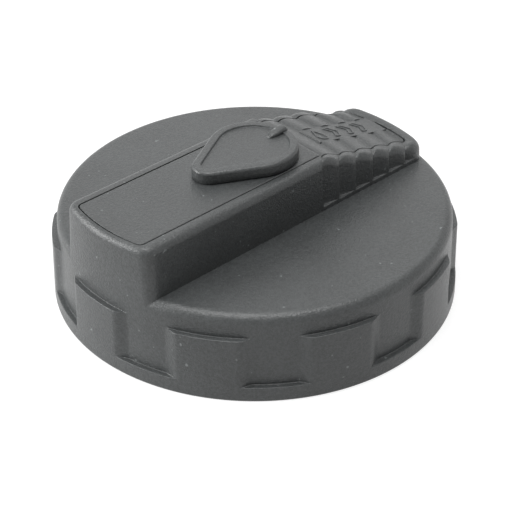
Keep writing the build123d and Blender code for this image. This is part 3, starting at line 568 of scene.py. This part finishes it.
def handle_points(s, h, p):
    """Upright wall, rounded edge and flat rim carried round the handle's outline.

    The wall stands on the outline, which shrinks with height; above the rib floor it stands back by the ribs'
    side depth. The edge is a quarter circle from wall to top; the rim runs straight to the panel's groove, and
    the wall then returns inside.
    """
    lean = math.tan(h.taper)
    groove_half = p.half_width + p.groove

    def outline(z):
        half = h.half_width - lean * (z - s.disc_height)
        ends = (s.recess_radius - s.draft * z, h.ribbed_radius - s.draft * z)
        return ring_outline(h, half, ends, (h.corner, h.ribbed_corner), h.near_marks, h.far_marks)

    _, out0, mid = outline(s.disc_height)
    valleys = range(len(h.ribs))
    groove, _, groove_mid = ring_outline(
        h, groove_half, (p.left_radius + p.groove, p.right_radius + p.groove), (p.corner + p.groove,) * 2,
        [valley_line(h, i, -groove_half) for i in valleys], [valley_line(h, i, groove_half) for i in valleys],
    )
    depth = side_depth(h, mid) * smooth(np.abs(out0[:, 1]), 0.7, 1.0)
    levels = []

    def add(place, z):
        levels.append(np.concatenate([place, np.broadcast_to(z, mid.shape)[:, None]], -1))

    def wall(z, back):
        zs = np.broadcast_to(z, mid.shape)
        low = outline(float(zs.min()))[0]
        high = outline(float(zs.max()) + 1e-9)[0]
        t = ((zs - zs.min()) / max(float(zs.max() - zs.min()), 1e-9))[:, None]
        place = low + (high - low) * t
        return place - out0 * np.broadcast_to(back, mid.shape)[:, None]

    def ceiling(place, m):
        """Top's height at a place, the far rounding taken off."""
        return top_height(h, m, place[:, 0]) - far_fall(h, place[:, 0], place[:, 1])

    f0 = h.rib_floor
    for z, back in ((BURIED / MM, 0.02), (20.6, 0.02), (21.4, 0.0), (22.6, 0.0), (23.4, 0.0)):
        add(wall(z * MM, back * MM), z * MM)
    steps = ((-0.30, 0.0), (-0.14, 0.03), (-0.05, 0.12), (0.0, 0.4), (0.03, 0.75), (0.10, 0.95), (0.3, 1.0))
    for dz, share in steps:
        add(wall(f0 + dz * MM, depth * share), f0 + dz * MM)
    low_edge = f0 + 0.35 * MM
    rough = wall(30 * MM, depth)
    edge = np.clip(ceiling(rough, mid) - low_edge, 0.4 * MM, h.edge)
    shoulder_z = np.maximum(ceiling(rough, mid) - edge, low_edge)
    start = wall(shoulder_z, depth)
    shoulder_z = np.maximum(ceiling(start, mid) - edge, low_edge)
    for t in np.linspace(0, 1, 10)[1:]:
        z = f0 + 0.3 * MM + (shoulder_z - f0 - 0.3 * MM) * t
        add(wall(z, depth), z)
    inward = groove - start
    span = np.linalg.norm(inward, axis=-1)
    limit = np.arccos(1 - np.minimum(1.0, span * 0.94 / edge))

    def crown(d):
        share = (d / span)[:, None]
        return ceiling(start + inward * share, mid + (groove_mid - mid) * d / span)

    lift = shoulder_z - (crown(np.zeros_like(span)) - edge)
    for t in np.linspace(0, 1, 13)[1:]:
        d = edge * (1 - np.cos(limit * t))
        z = crown(d) - edge + edge * np.sin(limit * t) + lift * (1 - t) ** 2
        add(start + inward * (d / span)[:, None], z)
    d0 = edge * (1 - np.cos(limit))
    low = edge - edge * np.sin(limit)
    for t in (0.3, 0.65, 0.93):
        d = d0 + (span - 0.06 * MM - d0) * t
        add(start + inward * (d / span)[:, None], crown(d) - low)
    z_end = crown(span) - low
    add(start + inward * (1 - 0.03 * MM / span)[:, None], z_end - 0.02 * MM)
    add(groove, z_end - 0.08 * MM)
    add(groove, z_end - 1.0 * MM)
    add(groove, z_end - 2.4 * MM)
    inside = start + inward * (np.minimum(1.0 * MM, span * 0.6) / span)[:, None]
    add(inside, z_end - 3.2 * MM)
    add(wall(BURIED, 1.2 * MM), BURIED)
    return np.stack(levels)


def panel_points(h, p):
    """Height field of the panel: rows follow the valleys, columns run along the handle.

    Its outline is two arcs round the axis and two straight sides; its edge is a quarter circle. The
    underside is a plane that falls under the ramp.
    """
    under, under_start, under_slope = 33.0 * MM, 12.8 * MM, 0.262
    half = p.half_width - p.groove
    rl = p.left_radius - p.groove
    rr = p.right_radius - p.groove
    e = p.edge
    inner = np.array([0.0, 0.02, 0.08, 0.2, 0.4, 0.7, 1.05, 1.4]) * MM
    flat = np.linspace(-(half - 1.8 * MM), -(p.sign_half + 0.5 * MM), 14)
    band = np.array([-0.12, -0.03, 0.03, 0.12]) * MM - p.sign_half
    mid = np.linspace(-(p.sign_half - 0.5 * MM), 0, 8)
    left = np.concatenate([-half + inner, flat, band, mid])
    y = np.concatenate([left, -left[-2::-1]])

    def end(radius):
        c = p.corner
        yc = half - c
        xc = math.sqrt((radius - c) ** 2 - yc ** 2)
        tip = math.atan2(yc, xc)
        edge_y = radius * math.sin(tip)
        over = np.clip(np.abs(y) - yc, 0, c)
        arc = np.sqrt(np.maximum(radius ** 2 - y ** 2, 0))
        corner = xc + np.sqrt(np.maximum(c ** 2 - over ** 2, 0))
        return np.where(np.abs(y) < edge_y, arc, corner)

    last = len(h.ribs) - 1
    right = end(rr)
    valleys = [np.minimum(valley_line(h, k, y), right - (0.1 + 0.02 * (last - k)) * MM) for k in range(last + 1)]
    share = h.shoulder / h.pitch
    stops = [-end(rl), valleys[0] - h.shoulder] + valleys + [right]
    counted = [np.full_like(y, v) for v in [-1.0, -share] + list(range(last + 1))]
    counted.append(last + (right - valleys[-1]) / h.pitch)
    edge_steps = np.array([0.0, 0.02, 0.08, 0.2, 0.4]) * MM
    xs, ms = [], []
    for k, n in enumerate([70, 6] + [26] * last + [10]):
        f = np.linspace(0, 1, n + 1)
        f = f if k == 0 else f[1:]
        xs.append(stops[k] + f[:, None] * (stops[k + 1] - stops[k]))
        ms.append(counted[k] + f[:, None] * (counted[k + 1] - counted[k]))
    x, m = np.concatenate(xs), np.concatenate(ms)
    first = x[:1] + edge_steps[:, None]
    tail = x[-1:] - edge_steps[::-1, None]
    x = np.concatenate([first, x[1:-1], tail])
    m = np.concatenate([m[:1] + 0 * first, m[1:-1], m[-1:] - edge_steps[::-1, None] / h.pitch])
    yy = np.broadcast_to(y, x.shape)
    z = top_height(h, m, x)
    plane = ramp_height(h, x) + p.sign_rise
    in_band = (np.abs(yy) < p.sign_half) & (m >= 1) & (m < last)
    z = np.where(in_band, plane, z) - far_fall(h, x, yy)
    d = np.minimum(half - np.abs(yy), np.minimum(x - x[:1], x[-1:] - x))
    d = np.clip(d, 0, e)
    z = z - (e - np.sqrt(np.maximum(e ** 2 - (e - d) ** 2, 0)))
    floor = np.minimum(under, under - under_slope * (x - under_start))
    above = np.stack([x, yy, z], -1)
    below = np.stack([x, yy, np.minimum(floor, z - 0.4 * MM)], -1)
    return above, below


def sign_points(h, p):
    """Raised strokes on the plain band: one fuel drop and three chevrons.

    The drop is x = -a sin t sin(t / 2) ** 1.5, y = b cos t; a chevron is a six-cornered line, rounded by
    averaging. A stroke's section is a low flat-topped ridge carried round the line.
    """
    t = np.linspace(0, 2 * math.pi, 160, endpoint=False)
    drop = np.stack([-1.9 * np.sin(t) * np.sin(t / 2) ** 1.5, 2.7 * np.cos(t) - 0.2], -1)
    corners = np.array([(-1.3, -2.5), (0.2, -2.5), (1.7, 0.0), (0.2, 2.5), (-1.3, 2.5), (0.2, 0.0), (-1.3, -2.5)])
    run = np.concatenate([[0], np.cumsum(np.linalg.norm(np.diff(corners, axis=0), axis=1))])
    even = np.linspace(0, run[-1], 160, endpoint=False)
    chevron = np.stack([np.interp(even, run, corners[:, k]) for k in (0, 1)], -1)
    for _ in range(12):
        chevron = (np.roll(chevron, 1, 0) + 2 * chevron + np.roll(chevron, -1, 0)) / 4
    across = np.array([-0.32, -0.30, -0.17, 0.17, 0.30, 0.32]) * MM
    rise = np.array([-0.20, 0.04, 0.24, 0.24, 0.04, -0.20]) * MM
    strokes = []
    for line, place in ((drop, 22.6), (chevron, 28.0), (chevron, 33.0), (chevron, 38.0)):
        line = (line + (place, 0.0)) * MM
        way = np.roll(line, -1, 0) - np.roll(line, 1, 0)
        way = way / np.maximum(np.linalg.norm(way, axis=1), 1e-9)[:, None]
        out = np.stack([way[:, 1], -way[:, 0]], -1)
        xy = line[:, None, :] + out[:, None, :] * across[None, :, None]
        z = ramp_height(h, xy[..., 0]) + p.sign_rise + rise
        strokes.append(np.concatenate([xy, z[..., None]], -1))
    return strokes


def panel_faces(rows, columns):
    """Top grid, bottom grid and the wall between their outlines."""
    n = rows * columns
    i, j = np.arange(rows), np.arange(columns)
    loop = np.concatenate([
        i * columns,
        (rows - 1) * columns + j[1:],
        i[-2::-1] * columns + columns - 1,
        j[-2:0:-1],
    ])
    nxt = np.roll(loop, -1)
    wall = np.stack([loop, nxt, nxt + n, loop + n], -1)
    return np.concatenate([grid_faces(rows, columns), grid_faces(rows, columns, start=n), wall])


# ---- key cover --------------------------------------------------------------
def cover_outline(c):
    """Drop outline: two circles and their common tangents, as points and outward directions."""
    reach = c.big_x - c.pivot_x
    lean = math.acos((c.small_radius - c.big_radius) / reach)
    big = np.linspace(-lean, lean, 121)
    small = np.linspace(lean, 2 * math.pi - lean, 61)
    line = np.linspace(0, 1, 31)[1:-1]

    def ray(a):
        return np.stack([np.cos(a), np.sin(a)], -1)

    centre_big = np.array([c.big_x, 0.0])
    centre_small = np.array([c.pivot_x, 0.0])
    spine = np.concatenate([
        np.tile(centre_big, (len(big), 1)),
        centre_big + line[:, None] * (centre_small - centre_big),
        np.tile(centre_small, (len(small), 1)),
        centre_small + line[:, None] * (centre_big - centre_small),
    ])
    radius = np.concatenate([
        np.full(len(big), c.big_radius),
        c.big_radius + line * (c.small_radius - c.big_radius),
        np.full(len(small), c.small_radius),
        c.small_radius + line * (c.big_radius - c.small_radius),
    ])
    upper, lower = (np.tile(ray(v), (len(line), 1)) for v in (lean, -lean))
    out = np.concatenate([ray(big), upper, ray(small), lower])
    return spine, radius, out


def cover_points(c):
    """Profile of rim and recessed face carried round the drop outline.

    A point stands on the spine plus (radius - inset) outwards; the face closes onto the spine.
    """
    spine, radius, out = cover_outline(c)
    top = c.bottom + c.thickness
    rows = []

    def add(inset, z):
        place = spine + out * np.maximum(radius - inset, 0.0)[:, None]
        rows.append(np.concatenate([place, np.full((len(place), 1), z)], -1))

    def close(z, shares):
        for f in shares:
            base = np.maximum(radius - rows_inset, 0.0)
            place = spine + out * (base * f)[:, None]
            rows.append(np.concatenate([place, np.full((len(place), 1), z)], -1))

    rows_inset = 0.3 * MM
    close(c.bottom, (0.0, 0.5))
    add(0.3 * MM, c.bottom)
    add(0.1 * MM, c.bottom + 0.05 * MM)
    add(0.0, c.bottom + 0.22 * MM)
    add(0.0, c.bottom + 1.2 * MM)
    for t in np.linspace(0, math.pi / 2, 9):
        add(c.edge * (1 - math.cos(t)), top - c.edge + c.edge * math.sin(t))
    add((c.edge + c.rim) / 2, top)
    step = 0.22 * MM
    for t in np.linspace(0, math.pi / 2, 6):
        add(c.rim - step + step * math.sin(t), top - step * (1 - math.cos(t)))
    for t in np.linspace(0, math.pi / 2, 6):
        add(c.rim + 0.06 * MM + step * (1 - math.cos(t)), top - c.recess + step - step * math.sin(t))
    rows_inset = c.rim + 0.06 * MM + step
    close(top - c.recess, (0.75, 0.5, 0.25, 0.0))
    return np.stack(rows)


def tab_points(c):
    """Finger tab: half-oval sections along the cover, their height and width following two profiles."""
    top = c.bottom + c.thickness
    x = np.array([4.5, 4.7, 5.2, 5.9, 7.0, 8.1, 9.2, 9.9, 10.3, 10.6, 10.75]) * MM
    high = np.array([-0.55, -0.1, 0.25, 0.5, 0.7, 0.88, 0.98, 0.92, 0.65, 0.25, -0.3]) * MM
    wide = np.array([0.25, 0.55, 0.8, 0.95, 1.05, 1.1, 1.1, 1.05, 0.9, 0.65, 0.3]) * MM
    fine = np.linspace(0, 1, 60)
    along = np.linspace(0, 1, len(x))
    x, high, wide = (np.interp(fine, along, v) for v in (x, high, wide))
    kernel = np.array([1, 2, 3, 2, 1]) / 9.0
    high[2:-2] = np.convolve(high, kernel, "valid")
    wide[2:-2] = np.convolve(wide, kernel, "valid")
    drawn_width = 2.2 * MM
    wide = wide * (c.tab_width / drawn_width)
    a = np.linspace(0, 2 * math.pi, 40, endpoint=False)
    shape_y = np.sign(np.cos(a)) * np.abs(np.cos(a)) ** 0.75
    shape_z = np.sign(np.sin(a)) * np.abs(np.sin(a)) ** 0.75
    floor = top - 1.3 * MM
    middle = (top + high + floor) / 2
    half = (top + high - floor) / 2
    y = wide[:, None] * shape_y
    z = middle[:, None] + half[:, None] * shape_z
    return np.stack([np.broadcast_to(x[:, None], y.shape), y, z], -1)


def tube_faces(rows, columns):
    """Faces of a tube with a fan-free cap at each end."""
    side = grid_faces(rows, columns, close_columns=True)
    half = columns // 2
    caps = []
    for base in (0, (rows - 1) * columns):
        k = np.arange(half - 1)
        caps.append(np.stack([base + k, base + k + 1, base + columns - 2 - k, base + columns - 1 - k], -1))
    return np.concatenate([side] + caps)


# ---- operators --------------------------------------------------------------
class FILLERCAP_OT_finishes(bpy.types.Operator):
    """Makes the finishes that the pieces share"""
    bl_idname = "fillercap.finishes"
    bl_label = "Make finishes"

    def execute(self, context):
        f = context.scene.fillercap_finish
        grained_plastic("shell grain", f.shell)
        grained_plastic("inner moulding", f.inner, 0.02, 0.3)
        plated_steel("plated steel", f.steel)
        plated_steel("die-cast zinc", f.zinc, 0.42)
        plated_steel("stamped brass", f.brass, 0.30)
        moulded_rubber("black rubber", f.rubber)
        return {"FINISHED"}


class FILLERCAP_OT_skirt(bpy.types.Operator):
    """Builds the fluted skirt with its disc, and the handle that stands on it"""
    bl_idname = "fillercap.skirt"
    bl_label = "Build skirt and handle"

    def execute(self, context):
        scene = context.scene
        s, h, p = scene.fillercap_skirt, scene.fillercap_handle, scene.fillercap_panel
        plastic = bpy.data.materials["shell grain"]
        points = skirt_points(s)
        faces = grid_faces(*points.shape[:2], close_rows=True, close_columns=True)
        make_piece("skirt_and_disc", points, faces, plastic, "shell", ("cap_shell",), 50)
        points = handle_points(s, h, p)
        faces = grid_faces(*points.shape[:2], close_rows=True, close_columns=True)
        make_piece("bar_handle", points, faces, plastic, "shell", ("cap_shell",), 40)
        return {"FINISHED"}


class FILLERCAP_OT_panel(bpy.types.Operator):
    """Builds the ribbed panel let into the handle, its lock hole and its raised signs"""
    bl_idname = "fillercap.panel"
    bl_label = "Build panel"

    def execute(self, context):
        h, p = context.scene.fillercap_handle, context.scene.fillercap_panel
        plastic = bpy.data.materials["shell grain"]
        above, below = panel_points(h, p)
        points = np.concatenate([above.reshape(-1, 3), below.reshape(-1, 3)])
        faces = panel_faces(*above.shape[:2])
        piece = make_piece("panel_top", points, faces, plastic, "shell", ("handle_panel",), 35)
        drill(piece, p.lock_hole, 20 * MM, 50 * MM)
        strokes = sign_points(h, p)
        count = strokes[0].shape[0] * strokes[0].shape[1]
        faces = [grid_faces(*v.shape[:2], True, True, k * count) for k, v in enumerate(strokes)]
        faces = np.concatenate(faces)
        points = np.concatenate([v.reshape(-1, 3) for v in strokes])
        make_piece("panel_sign", points, faces, plastic, "shell", ("handle_panel",), 40)
        return {"FINISHED"}


class FILLERCAP_OT_key_cover(bpy.types.Operator):
    """Builds the swinging key cover and its finger tab"""
    bl_idname = "fillercap.key_cover"
    bl_label = "Build key cover"

    def execute(self, context):
        c = context.scene.fillercap_cover
        plastic = bpy.data.materials["shell grain"]
        points = cover_points(c)
        faces = grid_faces(*points.shape[:2], close_columns=True)
        make_piece("cover_drop", points, faces, plastic, "cover", ("key_cover",), 40)
        points = tab_points(c)
        faces = tube_faces(*points.shape[:2])
        make_piece("cover_tab", points, faces, plastic, "cover", ("key_cover",), 60)
        return {"FINISHED"}


class FILLERCAP_OT_inner_parts(bpy.types.Operator):
    """Gives the carried-over pieces their finishes"""
    bl_idname = "fillercap.inner_parts"
    bl_label = "Dress inner parts"

    def execute(self, context):
        finishes = {
            "plated steel": (
                "panel_screws", "cover_pivot_pin", "cover_spring_washer", "cover_pin_clip", "housing_screws",
                "plug_clip", "cam_disc", "lock_bolt", "bolt_cover_screws", "lug_plate", "core_screws",
                "seal_plate", "seal_spring", "vent_spring",
            ),
            "die-cast zinc": ("lock_housing", "lock_plug"),
            "stamped brass": ("lock_wafers",),
            "black rubber": ("lock_seal_ring", "seal_gasket"),
            "inner moulding": ("bolt_cover", "core_body", "vent_poppet"),
        }
        for name, nodes in finishes.items():
            for node in nodes:
                dress(node, bpy.data.materials[name])
        return {"FINISHED"}


class FILLERCAP_OT_stage(bpy.types.Operator):
    """Lays the floor, hangs the lights and sets the camera"""
    bl_idname = "fillercap.stage"
    bl_label = "Build stage"

    def execute(self, context):
        studio = context.scene.fillercap_studio
        lay_floor(studio)
        hang_lights(studio)
        set_camera()
        return {"FINISHED"}


def lay_floor(studio):
    """Pale floor under the cap, seen as white: part of its colour plus a glow that adds up to 1."""
    half = studio.floor_size / 2
    mesh = bpy.data.meshes.new("floor")
    mesh.from_pydata([(-half, -half, 0), (half, -half, 0), (half, half, 0), (-half, half, 0)], [], [(0, 1, 2, 3)])
    floor = bpy.data.objects.new("floor", mesh)
    bpy.context.scene.collection.objects.link(floor)
    r = Recipe("pale floor")
    paper = r.node("ShaderNodeBsdfDiffuse", {}, {"Color": rgba(studio.floor)})
    pale = r.node("ShaderNodeBsdfDiffuse", {}, {"Color": rgba(studio.floor, 0.45)})
    glow = r.node("ShaderNodeEmission", {}, {"Color": (1, 1, 1, 1), "Strength": 0.78})
    both = r.node("ShaderNodeAddShader", {}, {0: pale, 1: glow})
    path = r.tree.nodes.new("ShaderNodeLightPath")
    seen = Socket(r, path.outputs["Is Camera Ray"]) + Socket(r, path.outputs["Is Glossy Ray"])
    seen = seen + Socket(r, path.outputs["Is Transmission Ray"])
    r.node_output(r.node("ShaderNodeMixShader", {}, {0: seen, 1: paper, 2: both}))
    mesh.materials.append(r.material)


def hang_lights(studio):
    """Surroundings that the camera and reflections see as white, and three soft panels."""
    world = bpy.data.worlds.new("surroundings")
    bpy.context.scene.world = world
    world.use_nodes = True
    tree = world.node_tree
    tree.nodes.clear()
    path = tree.nodes.new("ShaderNodeLightPath")
    seen = path.outputs["Is Camera Ray"]
    for ray in ("Is Transmission Ray", "Is Glossy Ray"):
        most = tree.nodes.new("ShaderNodeMath")
        most.operation = "MAXIMUM"
        tree.links.new(seen, most.inputs[0])
        tree.links.new(path.outputs[ray], most.inputs[1])
        seen = most.outputs[0]
    mix = tree.nodes.new("ShaderNodeMixShader")
    tree.links.new(seen, mix.inputs[0])
    for place_in_mix, strength in ((1, studio.world), (2, 1.0)):
        sky = tree.nodes.new("ShaderNodeBackground")
        sky.inputs["Color"].default_value = (1, 1, 1, 1)
        sky.inputs["Strength"].default_value = strength
        tree.links.new(sky.outputs[0], mix.inputs[place_in_mix])
    out = tree.nodes.new("ShaderNodeOutputWorld")
    tree.links.new(mix.outputs[0], out.inputs["Surface"])
    panels = (
        ("overhead panel", (-0.10, -0.04, 1.10), 0.80, studio.top_light),
        ("left panel", (-1.05, 0.90, 0.45), 0.90, studio.left_light),
        ("back panel", (0.95, 0.95, 0.95), 1.30, studio.back_light),
    )
    for name, spot, size, watts in panels:
        lamp = bpy.data.lights.new(name, "AREA")
        lamp.shape = "SQUARE"
        lamp.size = size
        lamp.energy = watts
        holder = bpy.data.objects.new(name, lamp)
        bpy.context.scene.collection.objects.link(holder)
        holder.location = spot
        holder.rotation_euler = (Vector((0, 0, 20 * MM)) - Vector(spot)).to_track_quat("-Z", "Y").to_euler()


def set_camera():
    """Long-lens camera seen from the front left and above."""
    azimuth, elevation, roll = math.radians(-43.357), math.radians(34.566), math.radians(-0.113)
    distance, target = 0.38588, Vector((-4.039, -4.302, 10.0)) * MM
    flat = math.cos(elevation)
    back = Vector((math.sin(azimuth) * flat, -math.cos(azimuth) * flat, math.sin(elevation)))
    across = Vector((0, 0, 1)).cross(back).normalized()
    up = back.cross(across)
    right = across * math.cos(roll) + up * math.sin(roll)
    above = up * math.cos(roll) - across * math.sin(roll)
    data = bpy.data.cameras.new("camera")
    data.lens = 106.94
    data.sensor_width = 36.0
    data.clip_start = 0.01
    holder = bpy.data.objects.new("camera", data)
    bpy.context.scene.collection.objects.link(holder)
    turned = Matrix((right, above, back)).transposed().to_4x4()
    holder.matrix_world = Matrix.Translation(target + back * distance) @ turned
    bpy.context.scene.camera = holder
    bpy.context.scene.view_settings.view_transform = "Standard"


class FILLERCAP_PT_panel(bpy.types.Panel):
    """Lists the builders in the order they run"""
    bl_idname = "FILLERCAP_PT_panel"
    bl_label = "Fuel Filler Cap"
    bl_space_type = "VIEW_3D"
    bl_region_type = "UI"
    bl_category = "Filler Cap"

    def draw(self, context):
        for operator in OPERATORS:
            self.layout.operator(operator.bl_idname)
        for name in GROUPS:
            box = self.layout.box()
            group = getattr(context.scene, name)
            for key in group.bl_rna.properties.keys():
                if key not in ("rna_type", "name"):
                    box.prop(group, key)


OPERATORS = (
    FILLERCAP_OT_finishes,
    FILLERCAP_OT_skirt,
    FILLERCAP_OT_panel,
    FILLERCAP_OT_key_cover,
    FILLERCAP_OT_inner_parts,
    FILLERCAP_OT_stage,
)
GROUPS = {
    "fillercap_skirt": SkirtSizes,
    "fillercap_handle": HandleSizes,
    "fillercap_panel": PanelSizes,
    "fillercap_cover": CoverSizes,
    "fillercap_finish": Finish,
    "fillercap_studio": Studio,
}


def register():
    """Registers the settings, the builders and the panel."""
    for group in GROUPS.values():
        bpy.utils.register_class(group)
    for name, group in GROUPS.items():
        setattr(bpy.types.Scene, name, PointerProperty(type=group))
    for operator in OPERATORS:
        bpy.utils.register_class(operator)
    bpy.utils.register_class(FILLERCAP_PT_panel)


def unregister():
    """Takes them away again."""
    bpy.utils.unregister_class(FILLERCAP_PT_panel)
    for operator in reversed(OPERATORS):
        bpy.utils.unregister_class(operator)
    for name, group in GROUPS.items():
        delattr(bpy.types.Scene, name)
        bpy.utils.unregister_class(group)


def main():
    """Builds every piece and the stage."""
    register()
    bpy.ops.fillercap.finishes()
    bpy.ops.fillercap.skirt()
    bpy.ops.fillercap.panel()
    bpy.ops.fillercap.key_cover()
    bpy.ops.fillercap.inner_parts()
    bpy.ops.fillercap.stage()


if __name__ == "__main__":
    main()
